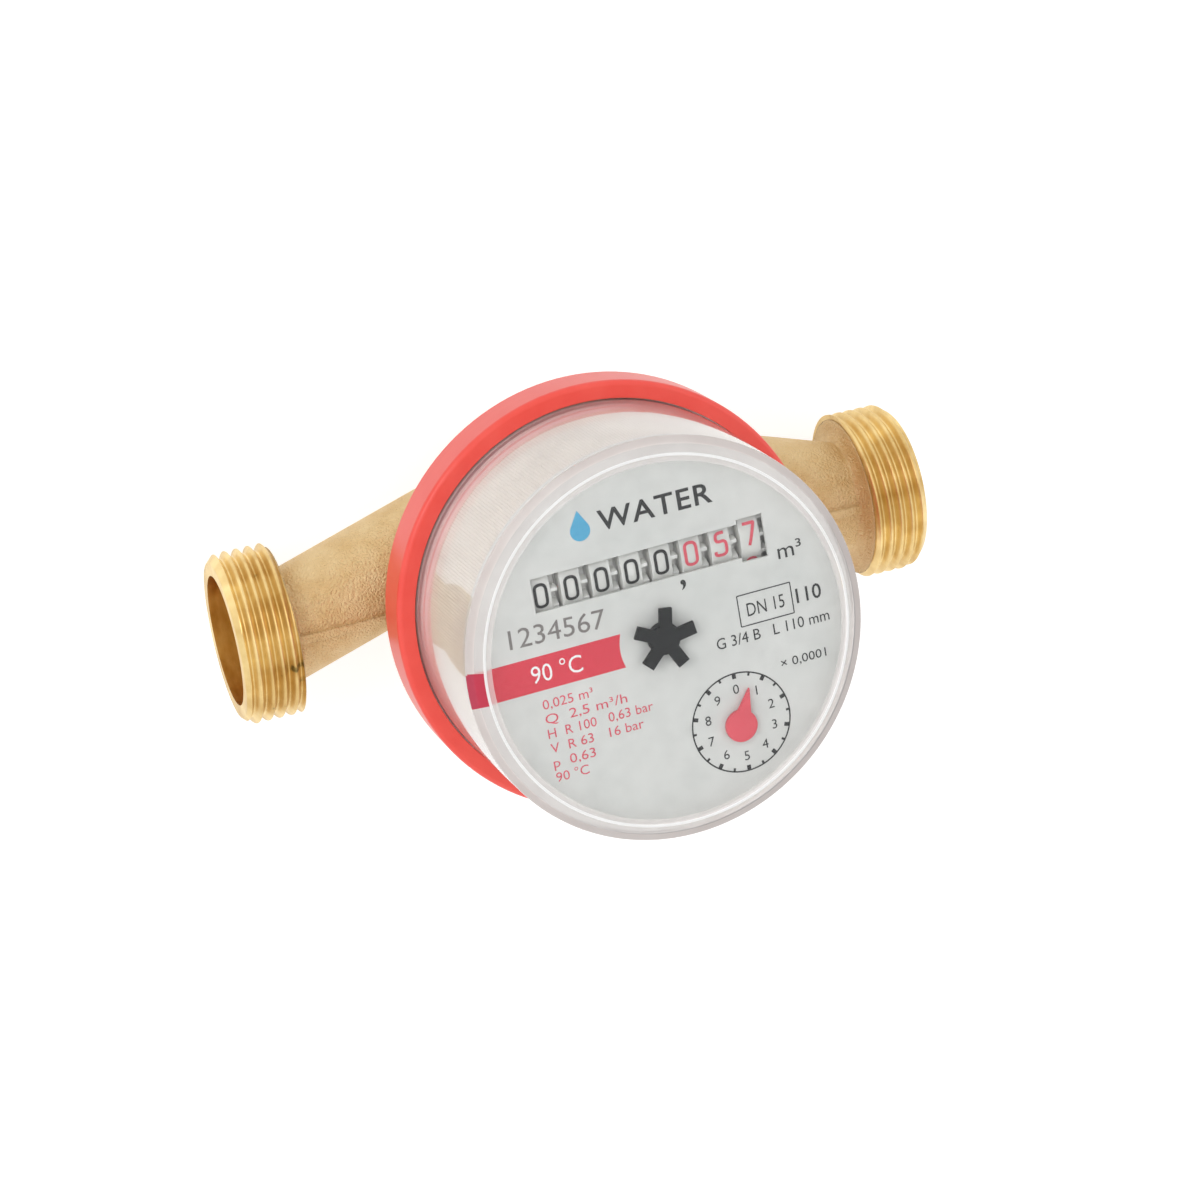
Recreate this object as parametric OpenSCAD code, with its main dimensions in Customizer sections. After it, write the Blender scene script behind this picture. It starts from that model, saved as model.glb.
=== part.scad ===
// Single-jet dry-dial water meter: cast brass body, turning register, roller counter

/* [Pipe ends] */
// Length between the two end faces
body_length = 110; // [100:1:130]
// Outside diameter of the threaded ends
port_d = 26.4; // [25:0.1:28]
// Length of each threaded end
port_length = 9; // [8:0.5:12]
// Chamfer at both edges of a threaded end
port_chamfer = 0.75; // [0.3:0.05:1.2]
// Bore at the mouth of each end
port_bore_d = 20; // [17:0.1:21]
// Depth of the mouth bore
port_bore_depth = 7.5; // [6:0.1:8]
// Height of the pipe axis over the flat bottom
axis_height = 17; // [15.5:0.1:18]
// Sideways shift of the pipe axis from the register axis
pipe_offset = 1; // [0:0.1:2.5]

/* [Slanted ducts] */
// Outside diameter of the cast ducts
duct_d = 16.7; // [15.5:0.1:17.5]
// Wall of the cast ducts
duct_wall = 2.2; // [1.6:0.1:2.8]
// Angle between a duct and the pipe axis
duct_slant = 17.5; // [14:0.5:20]
// Radius of the cove behind each threaded end
duct_cove = 3.6; // [2.5:0.1:4]
// Width of the casting seam
seam_w = 1.4; // [0.8:0.1:2]
// Height of the casting seam over the duct
seam_h = 0.5; // [0.2:0.05:0.8]

/* [Impeller chamber] */
// Inside diameter of the impeller chamber
chamber_d = 41; // [39:0.1:42]
// Wall of the bowl round the chamber
chamber_wall = 2.8; // [2.2:0.1:3.2]
// Thickness of the chamber floor
chamber_floor_t = 4; // [3:0.1:5]
// Inside height of the chamber
chamber_h = 23.3; // [22.5:0.1:25]
// Corner radius at the bottom edge
bowl_corner = 4; // [2:0.1:5]
// Width of the ledge that carries the pressure plate
seat_step = 5.7; // [5:0.1:6.5]
// Height of the neck under the rim flange
neck_h = 3; // [2:0.1:3.5]
// Width by which the rim flange stands out over the neck
rim_step = 1.8; // [1.4:0.1:2.2]
// Thickness of the rim flange
rim_t = 3.2; // [2.8:0.1:3.6]

/* [Wet parts] */
// Thickness of the pressure plate
plate_t = 3; // [2.6:0.1:3.5]
// Height of the screwed clamp ring
clamp_t = 3.2; // [2.5:0.1:3.6]
// Radial width of the clamp ring
clamp_w = 4.6; // [3.5:0.1:5.5]
// Free height between the clamp ring and the rim
clamp_gap = 0.8; // [0.5:0.1:1.5]
// Number of tool notches in the clamp ring
clamp_notches = 4; // [2:1:6]
// Cord diameter of the plate seal
plate_seal_d = 1.6; // [1.2:0.1:1.8]
// Free width on each side of the plate seal in its groove
seal_room = 0.2; // [0.1:0.05:0.3]
// Gap between the impeller tips and the chamber wall
impeller_gap = 3; // [1.5:0.1:4]
// Height of the impeller vanes
vane_h = 15; // [12:0.1:16]
// Thickness of the impeller vanes
vane_t = 1; // [0.8:0.1:1.4]
// Number of impeller vanes
vane_count = 8; // [6:1:10]
// Diameter of the impeller hub
impeller_hub_d = 8; // [7:0.1:10]
// Diameter of the fixed pivot pin
pivot_d = 1.6; // [1.2:0.1:2]
// Height of the pivot pin over the floor
pivot_h = 6; // [4:0.1:8]
// Running clearance on the pivots
pivot_clear = 0.1; // [0.05:0.01:0.2]
// Diameter of the impeller magnet
lower_magnet_d = 13; // [11:0.1:14]
// Thickness of the impeller magnet
lower_magnet_t = 2; // [1.5:0.1:2.5]
// Gap between the impeller magnet and the pressure plate
magnet_gap = 0.8; // [0.5:0.1:1.5]
// Depth of the strainer basket
strainer_depth = 2.4; // [1.5:0.1:2.6]
// Pitch of the strainer holes
strainer_pitch = 2.6; // [2.2:0.1:3.2]
// Width of the strainer holes
strainer_hole = 1.7; // [1:0.1:1.9]

/* [Collar ring] */
// Wall of the collar ring round the rim flange
ring_wall = 1.45; // [1.2:0.05:2]
// Thickness of the lip under the rim flange
ring_lip_t = 1.05; // [0.8:0.05:1.3]
// Thickness of the lip over the cover foot
ring_top_t = 1.15; // [0.8:0.05:1.4]
// Rounding of the upper outer edge
ring_round = 0.8; // [0.3:0.1:1]
// Play between the collar ring and what turns or sits in it
ring_play = 0.15; // [0.1:0.01:0.25]

/* [Clear cover] */
// Wall of the cover at the collar ring
cover_wall = 1.6; // [1.3:0.05:2]
// Draft of the cover from the collar ring to its top edge
cover_draft = 0.4; // [0.1:0.05:0.6]
// Width of the foot that the collar ring holds down
cover_foot_w = 1.2; // [0.9:0.05:1.5]
// Thickness of the cover window
cover_t = 1.6; // [1.4:0.1:2.5]
// Thickness of the foot under the collar ring
cover_foot_t = 1.6; // [1:0.1:1.8]
// Distance from the top edge of the cover to the window disc
window_rim = 2.8; // [2:0.1:4]
// Depth of the groove round the window disc
window_groove = 0.5; // [0.2:0.1:0.8]
// Width of the groove round the window disc
window_groove_w = 0.9; // [0.5:0.1:1.2]

/* [Register case] */
// Turn of the register in the body at rest
register_turn = 1.8; // [-45:0.1:45]
// Play between the register case and the cover
case_play = 0.2; // [0.1:0.05:0.3]
// Wall of the register base inside its seal groove
base_web = 0.5; // [0.3:0.05:0.8]
// Thickness of the register base floor
base_floor_t = 1.2; // [1:0.1:1.6]
// Height of the register base wall
base_h = 6.4; // [5.5:0.1:9]
// Cord diameter of the cover seal
cover_seal_d = 1.4; // [1:0.1:1.5]
// Distance from the upper edge of the base wall down to the cover seal
cover_seal_drop = 2.2; // [1.5:0.1:5]
// Wall of the magnet boss
boss_wall = 2; // [1.2:0.1:2.5]
// Gap between the magnet boss and the pressure plate
boss_gap = 0.6; // [0.3:0.1:1]
// Thickness of the boss floor
boss_floor_t = 1; // [0.8:0.1:1.2]
// Thickness of the steel shield round the boss
shield_t = 1; // [0.6:0.1:1.5]
// Play between the shield and the boss
shield_play = 0.05; // [0.02:0.01:0.1]
// Wall of the inner liner
liner_wall = 1.3; // [1:0.1:1.6]
// Gap between the number wheels and the inner liner
liner_gap = 0.335; // [0.25:0.005:0.6]

/* [Gear train] */
// Diameter of the gear arbors
arbor_d = 1.5; // [1.2:0.1:1.6]
// Running clearance of arbors and shafts
arbor_clear = 0.1; // [0.05:0.01:0.15]
// Diameter of the driven magnet
upper_magnet_d = 12.4; // [11:0.1:12.8]
// Thickness of the driven magnet
upper_magnet_t = 2.8; // [2:0.1:3]
// Gap between the driven magnet and the wall of its pocket
magnet_play = 0.8; // [0.4:0.1:1.2]
// Thickness of the gears
gear_t = 1.4; // [1:0.1:1.6]
// Free height between gears and their neighbours
gear_gap = 0.8; // [0.5:0.1:1]
// Module of the first gear pair
module_a = 0.4; // [0.38:0.01:0.42]
// Module of the second gear pair
module_b = 0.35; // [0.34:0.01:0.36]
// Teeth of the pinions
pinion_teeth = 8; // [7:1:10]
// Teeth of the first gear
first_teeth = 48; // [44:1:52]
// Teeth of the pointer gear and of the idler
pointer_teeth = 40; // [36:1:42]
// Teeth of the gear under the worm
transfer_teeth = 10; // [8:1:12]
// Share of the tooth pitch left free as backlash
backlash = 0.2; // [0.15:0.01:0.3]
// Height of a tooth over its pitch circle, in modules
tooth_tip = 0.75; // [0.7:0.01:0.8]
// Depth of a tooth under its pitch circle, in modules
tooth_root = 1.05; // [1:0.01:1.2]
// Width of a tooth at its tip, as a share of its width at the pitch circle
tip_width = 0.45; // [0.3:0.05:0.6]
// Width of a tooth at its root, as a share of its width at the pitch circle
root_width = 1.45; // [1.2:0.05:1.6]
// Thickness of the bridge plate
bridge_t = 1.2; // [1:0.1:1.5]
// Play between the bridge plate and the base wall
bridge_play = 0.4; // [0.2:0.1:0.6]
// Diameter of the bridge posts
post_d = 2.4; // [2:0.1:2.6]
// Directions of the two posts on the free side of the bridge
post_turns = [200, 245];
// Wall round a bearing hole
bearing_wall = 0.7; // [0.5:0.05:1]
// Gap between the pointer gear and the base wall
pointer_gap = 0.6; // [0.3:0.05:1]
// Direction of the small pointer from the middle of the dial
pointer_bearing = -60.1; // [-64:0.1:-58]
// Diameter over the worm thread
worm_d = 2.6; // [2.4:0.1:2.8]
// Depth of the worm thread
worm_depth = 0.4; // [0.2:0.05:0.5]
// Length of the worm
worm_length = 7; // [5:0.1:7.5]
// Teeth of the worm wheel
worm_wheel_teeth = 40; // [30:1:50]
// Thickness of the worm wheel
worm_wheel_t = 1; // [0.8:0.1:1.2]
// Gap between the worm and the tips of its wheel
worm_clear = 0.12; // [0.08:0.01:0.2]

/* [Roller counter] */
// Number of number wheels
wheel_count = 8; // [8:1:8]
// Side play between one number wheel and the next
wheel_play = 0.2; // [0.15:0.01:0.3]
// Diameter of the number wheels
wheel_d = 17.3; // [16.5:0.1:17.6]
// Width of the printed band
band_w = 3.02; // [2.8:0.01:3.2]
// Width of the gear ring on a number wheel
ring_gear_w = 1; // [0.7:0.05:1.1]
// How far the tips of the ring gear lie below the number band
ring_gear_drop = 0.1; // [0.05:0.05:0.4]
// Width of the carry teeth on a number wheel
carry_w = 0.35; // [0.3:0.05:0.6]
// Teeth of the gear ring
ring_gear_teeth = 20; // [20:1:20]
// Gap between the carry teeth and the carry pinion
carry_clear = 0.15; // [0.1:0.01:0.3]
// Place of the counter across the dial
counter_y = 10.9; // [10.6:0.05:11]
// Angle of the carry shaft under the counter
carry_angle = 68; // [66:1:72]
// Diameter of the counter shaft
counter_shaft_d = 1.8; // [1.5:0.1:2]
// Gap between the carry pinions and the register base
carry_floor_gap = 0.35; // [0.25:0.05:0.8]
// Thickness of the counter brackets
bracket_t = 1; // [0.8:0.1:1.2]
// Gap between the gear under the worm and the counter bracket
bracket_gap = 0.15; // [0.1:0.05:0.25]

/* [Dial] */
// Thickness of the dial plate
dial_t = 0.5; // [0.4:0.05:0.8]
// Free height between the hands and the window
hand_room = 0.3; // [0.2:0.05:1]
// Height of the window over the number wheels
dial_window_h = 5.1; // [4.8:0.1:5.6]
// How far the window stops short of each end of the counter
dial_window_inset = 0.6; // [0.3:0.1:0.9]
// Extra height of the window over the last wheel
dial_window_step = 0.7; // [0:0.1:1]
// Gap between the number wheels and the dial plate
wheel_gap = 0.2; // [0.15:0.05:0.4]
// Length of the pointer needle
pointer_length = 5.7; // [4:0.1:6.5]
// Diameter of the pointer hub
pointer_hub_d = 4.8; // [3.2:0.1:5.2]
// Thickness of the pointer and of the star
hand_t = 0.6; // [0.4:0.1:0.7]
// Turn of the pointer from the zero of its dial
pointer_turn = 21; // [0:1:359]
// Tip diameter of the star
star_d = 9.3; // [7:0.1:10]
// Hub diameter of the star
star_hub_d = 4.3; // [3:0.1:5.5]
// Diameter of the boss under the star
star_boss_d = 4.8; // [4:0.1:6]
// Height of the boss under the star
star_boss_t = 0.8; // [0.4:0.1:1.4]
// Number of arms of the star
star_arms = 5; // [3:1:8]
// Width of a star arm
star_arm_w = 1.9; // [1:0.1:2.4]
// Turn of the star at rest
star_turn = 81; // [0:1:359]
// Gap between the hands and the dial plate
hand_gap = 0.2; // [0.1:0.05:0.3]

/* [Hidden] */
$fn = 64;

// Cutters reach this far past the faces they open
over = 1;
// Turn from one point of a rounded profile to the next
arc_step = 15;
// Widths along the counter
wheel_pitch = carry_w + band_w + ring_gear_w + wheel_play;
band_from = -(band_w + ring_gear_w - carry_w) / 2;
counter_half = wheel_count * wheel_pitch / 2;
// Radii of the case, from the number wheels outwards
wheel_corner_r = norm([counter_half, counter_y + wheel_d / 2]);
liner_bore_d = 2 * (wheel_corner_r + liner_gap);
base_d = liner_bore_d + 2 * liner_wall;
base_bore_d = base_d - 2 * (cover_seal_d + base_web);
cover_bore_d = base_d + 2 * case_play;
cover_d = cover_bore_d + 2 * cover_wall;
cover_top_d = cover_d - 2 * cover_draft;
window_d = cover_top_d - 2 * window_rim;
// Radii of the body and the collar ring, which the cover stands on
rim_d = cover_d + 2 * cover_foot_w;
neck_d = rim_d - 2 * rim_step;
ring_d = rim_d + 2 * (ring_play + ring_wall);
seat_d = chamber_d + 2 * seat_step;
plate_seal_ring_d = (chamber_d + seat_d) / 2;
impeller_d = chamber_d - 2 * impeller_gap;
pocket_d = upper_magnet_d + 2 * magnet_play;
boss_d = pocket_d + 2 * boss_wall;
// Pitch radii of the gears
pinion_a_r = module_a * pinion_teeth / 2;
first_r = module_a * first_teeth / 2;
pinion_b_r = module_b * pinion_teeth / 2;
pointer_r = module_b * pointer_teeth / 2;
transfer_r = module_b * transfer_teeth / 2;
module_c = (wheel_d - 2 * ring_gear_drop) / (ring_gear_teeth + 2 * tooth_tip);
carry_reach = module_c * (ring_gear_teeth + pinion_teeth) / 2;
carry_tip_r = module_c * (pinion_teeth / 2 + tooth_tip);
// Heights, stacked from the flat bottom upwards
seat_z = chamber_floor_t + chamber_h;
clamp_z = seat_z + plate_t;
rim_z = clamp_z + clamp_t + clamp_gap;
boss_z = clamp_z + boss_gap;
base_top_z = rim_z + base_floor_t;
liner_z = rim_z + base_h;
cover_seal_z = liner_z - cover_seal_drop;
level_a_z = base_top_z + gear_gap;
level_b_z = level_a_z + gear_t + gear_gap;
bridge_z = level_b_z + gear_t + gear_gap + arbor_d / 4;
carry_z = base_top_z + carry_floor_gap + carry_tip_r;
counter_z = carry_z + carry_reach * sin(carry_angle);
dial_z = counter_z + wheel_d / 2 + wheel_gap;
dial_top_z = dial_z + dial_t;
hand_z = dial_top_z + hand_gap;
star_z = hand_z + star_boss_t;
cover_in_z = star_z + hand_t + hand_room;
cover_top_z = cover_in_z + cover_t;
arbor_z = base_top_z - base_floor_t / 2;
// Impeller heights, hung from the pressure plate
lower_magnet_z = seat_z - magnet_gap - lower_magnet_t;
vane_z = lower_magnet_z - vane_h - vane_t;
// Place where a duct leaves the back of its threaded end
duct_x = body_length / 2 - port_length;
// Gear places in the register, each set by the base wall or the gears that meet there
bearing_r = arbor_d / 2 + arbor_clear + bearing_wall;
rim_gear_r = base_bore_d / 2 - pointer_gap - pointer_r - tooth_tip * module_b;
idler_bearing = pointer_bearing + 2 * asin(pointer_r / rim_gear_r);
pointer_at = polar(rim_gear_r, pointer_bearing);
idler_at = polar(rim_gear_r, idler_bearing);
first_at = mesh_point([0, 0], pinion_a_r + first_r, pointer_at, pinion_b_r + pointer_r, -1);
worm_x = counter_half + worm_d / 2 + worm_wheel_t / 4;
worm_y = idler_at[1] + sqrt(pow(pointer_r + transfer_r, 2) - pow(worm_x - idler_at[0], 2));
worm_at = [worm_x, worm_y];
worm_wheel_d = 2 * (counter_y - worm_y - worm_clear) - worm_d;
worm_wheel_m = worm_wheel_d / (worm_wheel_teeth + 2 * tooth_tip);
carry_y = counter_y - carry_reach * cos(carry_angle);
bracket_x = worm_x + transfer_r + tooth_tip * module_b + bracket_gap + bracket_t / 2;
// Turns that bring the teeth of each pair into mesh
first_phase = mesh_phase(bearing([0, 0], first_at), 0, pinion_teeth, first_teeth);
pointer_phase = mesh_phase(bearing(first_at, pointer_at), 0, pinion_teeth, pointer_teeth);
idler_phase = mesh_phase(bearing(pointer_at, idler_at), pointer_phase,
    pointer_teeth, pointer_teeth);
transfer_phase = mesh_phase(bearing(idler_at, worm_at), idler_phase,
    pointer_teeth, transfer_teeth);
carry_phase = mesh_phase(carry_angle - 180, 0, ring_gear_teeth, pinion_teeth);

// Point at distance a from p and b from q, to the left (1) or right (-1) of the line p to q
function mesh_point(p, a, q, b, side) =
    let (d = norm(q - p), u = (q - p) / d, s = (a * a - b * b + d * d) / (2 * d))
    p + s * u + side * sqrt(max(0, a * a - s * s)) * [-u[1], u[0]];
// Direction of q seen from p
function bearing(p, q) = atan2(q[1] - p[1], q[0] - p[0]);
// Turn of a gear of nq teeth that meets a gear of np teeth standing at turn tp
function mesh_phase(dir, tp, np, nq) = dir + 180 - 360 / nq * (0.5 - (dir - tp) * np / 360);
function polar(r, a) = [r * cos(a), r * sin(a)];
// Centre of number wheel i along the counter, from the left
function wheel_x(i) = (i - (wheel_count + 1) / 2) * wheel_pitch;
// Tooth outline: the flanks run straight from a wide root to a narrow tip
function gear_outline(m, n) =
    let (r = m * n / 2, step = 360 / n, half = step * (1 - backlash) / 4)
    [for (i = [0 : n - 1]) each [
        polar(r - tooth_root * m, i * step - root_width * half),
        polar(r + tooth_tip * m, i * step - tip_width * half),
        polar(r + tooth_tip * m, i * step + tip_width * half),
        polar(r - tooth_root * m, i * step + root_width * half)]];

// Shared shapes
module both_ends() {
    children();
    mirror([1, 0, 0]) children();
}
module along_x(at) {
    translate(at) rotate([90, 0, 90]) children();
}
module in_register() {
    rotate([0, 0, register_turn]) children();
}
module pipe_z(d_out, d_in, z0, z1) {
    translate([0, 0, z0]) difference() {
        cylinder(d = d_out, h = z1 - z0);
        translate([0, 0, -over]) cylinder(d = d_in, h = z1 - z0 + 2 * over);
    }
}
module rod(d, z0, z1) {
    translate([0, 0, z0]) cylinder(d = d, h = z1 - z0);
}
module gear(m, n, z0, t, turn) {
    translate([0, 0, z0]) rotate([0, 0, turn]) linear_extrude(t) polygon(gear_outline(m, n));
}
module seal(ring_d, cord_d, z) {
    translate([0, 0, z]) rotate_extrude() translate([ring_d / 2, 0]) circle(d = cord_d);
}

// Cast body: bowl, two slanted ducts and two threaded ends
module bowl() {
    bowl_r = chamber_d / 2 + chamber_wall;
    neck_z = rim_z - rim_t - neck_h;
    flare = (neck_d - chamber_d) / 2 - chamber_wall;
    rotate_extrude() polygon(concat(
        [[0, 0]],
        [for (a = [-90 : arc_step : 0])
            [bowl_r - bowl_corner, bowl_corner] + polar(bowl_corner, a)],
        [[bowl_r, neck_z - flare], [neck_d / 2, neck_z], [neck_d / 2, rim_z - rim_t],
            [rim_d / 2, rim_z - rim_t], [rim_d / 2, rim_z], [0, rim_z]]));
}
module duct_line(d) {
    back = port_length - port_bore_depth + duct_d / 2 * tan(duct_slant);
    translate([duct_x, pipe_offset, axis_height]) rotate([0, -90, -duct_slant])
        translate([0, 0, -back]) cylinder(d = d, h = duct_x / cos(duct_slant) + back);
}
module threaded_end() {
    r = port_d / 2;
    cove_r = duct_d / 2 - duct_cove * tan(duct_slant) + duct_cove;
    translate([body_length / 2, pipe_offset, axis_height]) rotate([0, -90, 0])
        rotate_extrude() polygon(concat(
            [[0, 0], [r - port_chamfer, 0], [r, port_chamfer], [r, port_length - port_chamfer],
                [r - port_chamfer, port_length]],
            [for (a = [-90 : -arc_step : -180])
                [cove_r, port_length + duct_cove] + polar(duct_cove, a)],
            [[0, port_length + duct_cove]]));
}
module duct_seam() {
    from = chamber_d / 2 + chamber_wall / 4;
    intersection() {
        duct_line(duct_d + 2 * seam_h);
        translate([from, pipe_offset - seam_w / 2, 0]) cube([duct_x - from + over, seam_w, seat_z]);
    }
}
module brass_body() {
    mouth_x = body_length / 2 - port_bore_depth;
    color("goldenrod") difference() {
        union() {
            bowl();
            both_ends() {
                threaded_end();
                duct_line(duct_d);
                duct_seam();
            }
        }
        rod(chamber_d, chamber_floor_t, rim_z + over);
        rod(seat_d, seat_z, rim_z + over);
        rod(pivot_d, chamber_floor_t / 2, chamber_floor_t + over);
        both_ends() {
            along_x([mouth_x, pipe_offset, axis_height])
                cylinder(d = port_bore_d, h = port_bore_depth + over);
            duct_line(duct_d - 2 * duct_wall);
        }
    }
}

// Wet parts
module inlet_strainer() {
    strainer_d = port_bore_d - 2 * pivot_clear;
    rows = floor(strainer_d / strainer_pitch / 2);
    disc_t = strainer_depth / 2;
    color("whitesmoke")
        along_x([port_bore_depth - body_length / 2 - strainer_depth, pipe_offset, axis_height])
            difference() {
                cylinder(d = strainer_d, h = strainer_depth);
                translate([0, 0, -over])
                    cylinder(d = strainer_d - 2 * disc_t, h = strainer_depth - disc_t + over);
                for (i = [-rows : rows]) for (j = [-rows : rows])
                    if (norm([i, j]) * strainer_pitch + strainer_hole
                            < strainer_d / 2 - disc_t)
                        translate([i * strainer_pitch, j * strainer_pitch, strainer_depth / 2])
                            cube([strainer_hole, strainer_hole, 2 * strainer_depth],
                                center = true);
            }
}
module impeller_pivot() {
    color("silver") rod(pivot_d, chamber_floor_t / 2, chamber_floor_t + pivot_h);
}
module impeller() {
    hub_z = chamber_floor_t + pivot_h / 2;
    color("ivory") difference() {
        union() {
            rod(impeller_hub_d, hub_z, lower_magnet_z);
            rod(impeller_d - 4 * vane_t, vane_z + vane_h, vane_z + vane_h + vane_t);
            for (i = [0 : vane_count - 1]) rotate([0, 0, i * 360 / vane_count])
                translate([0, -vane_t / 2, vane_z]) cube([impeller_d / 2, vane_t, vane_h]);
        }
        rod(pivot_d + 2 * pivot_clear, hub_z - over, chamber_floor_t + pivot_h);
    }
}
module impeller_magnet() {
    color("dimgray") rod(lower_magnet_d, lower_magnet_z, lower_magnet_z + lower_magnet_t);
}
module pressure_plate() {
    groove_w = plate_seal_d + 2 * seal_room;
    color("darkkhaki") difference() {
        rod(seat_d - 2 * case_play, seat_z, clamp_z);
        pipe_z(plate_seal_ring_d + groove_w, plate_seal_ring_d - groove_w,
            seat_z - over, seat_z + plate_seal_d);
    }
}
module plate_seal() {
    color("black") seal(plate_seal_ring_d, plate_seal_d, seat_z + plate_seal_d / 2);
}
module clamp_ring() {
    outer = seat_d - case_play;
    color("goldenrod") difference() {
        pipe_z(outer, outer - 2 * clamp_w, clamp_z, clamp_z + clamp_t);
        for (i = [0 : clamp_notches - 1]) rotate([0, 0, i * 360 / clamp_notches])
            translate([0, -clamp_w / 4, clamp_z + clamp_t / 2])
                cube([outer / 2 - clamp_w / 2, clamp_w / 2, clamp_t]);
    }
}

// Collar ring and clear cover
module collar_ring() {
    r = ring_d / 2;
    hollow = rim_d / 2 + ring_play;
    foot_z = rim_z + cover_foot_t;
    top_z = foot_z + ring_top_t;
    lip_z = rim_z - rim_t - ring_lip_t;
    color("tomato") rotate_extrude() polygon(concat(
        [[neck_d / 2 + ring_play, lip_z], [r, lip_z]],
        [for (a = [0 : arc_step : 90]) [r - ring_round, top_z - ring_round] + polar(ring_round, a)],
        [[cover_d / 2 + ring_play, top_z], [cover_d / 2 + ring_play, foot_z], [hollow, foot_z],
            [hollow, rim_z - rim_t], [neck_d / 2 + ring_play, rim_z - rim_t]]));
}
module cover() {
    top_r = cover_top_d / 2;
    groove_r = window_d / 2;
    edge = cover_t / 3;
    color("aliceblue", 0.4) rotate_extrude() polygon([
        [cover_bore_d / 2, rim_z], [rim_d / 2, rim_z],
        [rim_d / 2, rim_z + cover_foot_t], [cover_d / 2, rim_z + cover_foot_t],
        [top_r, cover_top_z - edge], [top_r - edge, cover_top_z],
        [groove_r + window_groove_w, cover_top_z],
        [groove_r + window_groove_w / 2, cover_top_z - window_groove],
        [groove_r, cover_top_z], [0, cover_top_z], [0, cover_in_z],
        [cover_bore_d / 2, cover_in_z]]);
}
module cover_seal() {
    color("black") in_register()
        seal(base_d - cover_seal_d, cover_seal_d, cover_seal_z);
}

// Register case
module register_base() {
    color("linen") in_register() difference() {
        union() {
            rod(base_d, rim_z, base_top_z);
            pipe_z(base_d, base_bore_d, rim_z, liner_z);
            rod(boss_d, boss_z, base_top_z);
        }
        pipe_z(base_d + over, base_d - 2 * cover_seal_d,
            cover_seal_z - cover_seal_d / 2, cover_seal_z + cover_seal_d / 2);
        rod(pocket_d, boss_z + boss_floor_t, base_top_z + over);
        rod(arbor_d + 2 * arbor_clear, boss_z + boss_floor_t / 2, base_top_z);
        for (at = [first_at, idler_at, worm_at]) translate(at)
            rod(arbor_d + 2 * arbor_clear, arbor_z, base_top_z + over);
    }
}
module magnet_shield() {
    color("lightsteelblue") in_register()
        pipe_z(boss_d + 2 * (shield_play + shield_t), boss_d + 2 * shield_play, boss_z, rim_z);
}
module register_liner() {
    color("linen") in_register() pipe_z(base_d, liner_bore_d, liner_z, dial_z);
}

// Gear train
module spindle() {
    color("whitesmoke") in_register() {
        rod(arbor_d, boss_z + boss_floor_t / 2, hand_z);
        gear(module_a, pinion_teeth, level_a_z, gear_t, 0);
    }
}
module driven_magnet() {
    magnet_z = base_top_z - upper_magnet_t - arbor_clear;
    color("dimgray") in_register()
        pipe_z(upper_magnet_d, arbor_d, magnet_z, magnet_z + upper_magnet_t);
}
module star_indicator() {
    color("darkslategray") in_register() {
        rod(star_boss_d, hand_z, star_z);
        rod(star_hub_d, star_z, star_z + hand_t);
        for (i = [0 : star_arms - 1]) rotate([0, 0, star_turn + i * 360 / star_arms])
            translate([0, -star_arm_w / 2, star_z]) cube([star_d / 2, star_arm_w, hand_t]);
    }
}
module first_gear() {
    color("whitesmoke") in_register() translate(first_at) {
        rod(arbor_d, arbor_z, bridge_z + bridge_t);
        gear(module_a, first_teeth, level_a_z, gear_t, first_phase);
        gear(module_b, pinion_teeth, level_b_z, gear_t, 0);
    }
}
module pointer_gear() {
    color("whitesmoke") in_register() translate(pointer_at) {
        rod(arbor_d, level_b_z, hand_z);
        gear(module_b, pointer_teeth, level_b_z, gear_t, pointer_phase);
        rod(2 * arbor_d, level_b_z + gear_t, bridge_z);
        rod(2 * arbor_d, bridge_z + bridge_t, bridge_z + bridge_t + gear_gap);
    }
}
module pointer() {
    color("crimson") in_register() translate(pointer_at) {
        rod(pointer_hub_d, hand_z, hand_z + hand_t);
        rotate([0, 0, 90 - pointer_turn]) translate([0, 0, hand_z]) linear_extrude(hand_t)
            polygon([[0, -pointer_hub_d / 3], [pointer_length, 0], [0, pointer_hub_d / 3]]);
    }
}
module idler_gear() {
    color("whitesmoke") in_register() translate(idler_at) {
        rod(arbor_d, arbor_z, bridge_z + bridge_t);
        gear(module_b, pointer_teeth, level_b_z, gear_t, idler_phase);
    }
}
module worm_shaft() {
    worm_z = counter_z - worm_length / 2;
    thread_pitch = PI * worm_wheel_m;
    color("whitesmoke") in_register() translate(worm_at) {
        rod(arbor_d, arbor_z, worm_z);
        gear(module_b, transfer_teeth, level_b_z, gear_t, transfer_phase);
        translate([0, 0, worm_z])
            linear_extrude(worm_length, twist = -360 * worm_length / thread_pitch,
                    slices = round(10 * worm_length / thread_pitch))
                translate([worm_depth / 2, 0]) circle(d = worm_d - worm_depth, $fn = 12);
        rod(arbor_d, worm_z + worm_length, worm_z + worm_length + bracket_t + gear_gap);
    }
}
module bridge_plate() {
    r = base_bore_d / 2 - bridge_play;
    hole_d = arbor_d + 2 * arbor_clear;
    turns = concat(post_turns, [(pointer_bearing + idler_bearing) / 2]);
    color("gainsboro") in_register() {
        difference() {
            translate([0, 0, bridge_z]) linear_extrude(bridge_t) intersection() {
                circle(r = r);
                union() {
                    translate([-r, -r]) square([2 * r, r + bearing_r]);
                    translate([worm_x - bearing_r, 0]) square([2 * bearing_r, worm_y + bearing_r]);
                }
            }
            for (at = [[0, 0], first_at, pointer_at, idler_at, worm_at]) translate(at)
                rod(hole_d, bridge_z - over, bridge_z + bridge_t + over);
        }
        for (a = turns) translate(polar(r - post_d, a)) rod(post_d, base_top_z, bridge_z);
    }
}

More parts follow.
